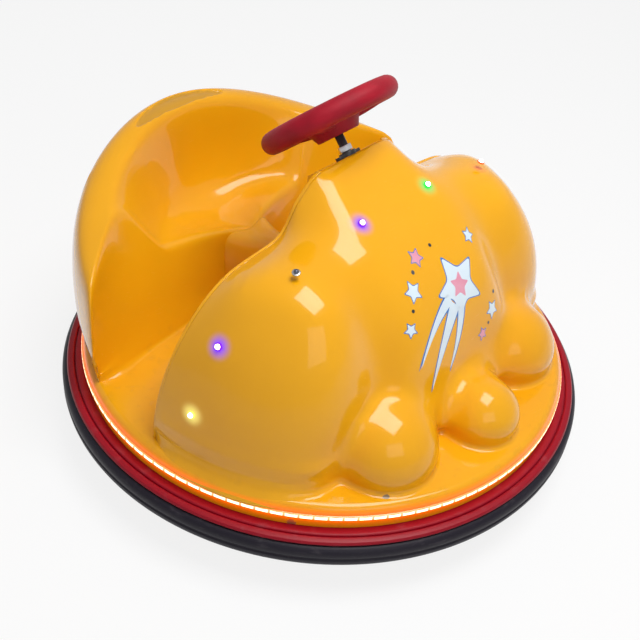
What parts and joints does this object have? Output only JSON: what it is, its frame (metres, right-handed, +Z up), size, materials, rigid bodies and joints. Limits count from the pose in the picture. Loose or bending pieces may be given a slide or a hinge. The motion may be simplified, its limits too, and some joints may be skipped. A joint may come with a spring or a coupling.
{
  "type": "children's battery bumper car",
  "caption": "Round children's bumper car with a moulded shell, bucket seat, steering wheel, rubber bumper ring, light strip, steered drive wheel and free rear wheels.",
  "frame": {"origin": "on the ground under the middle of the round base", "axes": "+Z up, front of the car towards -Y, its left side towards +X"},
  "size_m": [1.1498, 1.15, 0.7922],
  "materials": {
    "shell": "gloss",
    "strip": "lit",
    "bumper_black": "satin",
    "bumper_red": "satin",
    "lens": "lit",
    "bezel": "polished",
    "grip_red": "grained",
    "black_steel": "satin",
    "zinc": "plated",
    "frame_paint": "satin",
    "motor_case": "cast",
    "rim_plastic": "moulded",
    "tyre": "matt",
    "black_plastic": "moulded",
    "red_plastic": "gloss"
  },
  "bodies": {
    "body": {"cowl": "shell", "dash_panel": "shell", "bulkhead": "shell", "seat_tub": "shell", "seat_front": "shell", "seat_tunnel": "shell", "floor_pan": "shell", "skirt": "shell", "light_strip": "strip", "bumper_tyre": "bumper_black", "bumper_band": "bumper_red", "marker_lights": "lens", "light_bezels": "bezel", "column_flange": "black_steel", "foot_pedal": "black_plastic", "charge_socket": "black_plastic", "power_switch": "red_plastic", "battery": "black_plastic", "chassis_ring": "frame_paint", "cross_members": "frame_paint", "steering_head": "frame_paint", "rear_brackets": "frame_paint", "rear_axles": "zinc"},
    "steering": {"steering_wheel": "grip_red", "wheel_cap": "grip_red", "steering_shaft": "black_steel", "shaft_nut": "zinc"},
    "front_fork": {"kingpin": "zinc", "fork": "frame_paint", "drive_motor": "motor_case", "drive_axle": "zinc"},
    "drive_wheel": {"drive_rim": "rim_plastic", "drive_tyre": "tyre"},
    "rear_left_wheel": {"rear_left_rim": "rim_plastic", "rear_left_tyre": "tyre"},
    "rear_right_wheel": {"rear_right_rim": "rim_plastic", "rear_right_tyre": "tyre"}
  },
  "joints": [
    {"name": "steering_turn", "type": "hinge", "parent": "body", "child": "steering", "pos_m": [0, -0.0096, 0.62463], "axis": [0, 0.6691, 0.7431], "range_deg": [-90, 90]},
    {"name": "fork_turn", "type": "hinge", "parent": "body", "child": "front_fork", "pos_m": [0, -0.3, 0.07], "axis": [0, 0, 1], "range_deg": [-90, 90]},
    {"name": "drive_spin", "type": "hinge", "parent": "front_fork", "child": "drive_wheel", "pos_m": [0, -0.3, 0.07], "axis": [1, 0, 0], "continuous": true},
    {"name": "rear_left_spin", "type": "hinge", "parent": "body", "child": "rear_left_wheel", "pos_m": [0.3, 0.22, 0.07], "axis": [1, 0, 0], "continuous": true},
    {"name": "rear_right_spin", "type": "hinge", "parent": "body", "child": "rear_right_wheel", "pos_m": [-0.3, 0.22, 0.07], "axis": [1, 0, 0], "continuous": true}
  ],
  "couplings": [
    {"joint": "fork_turn", "follows": "steering_turn", "ratio": 1}
  ]
}
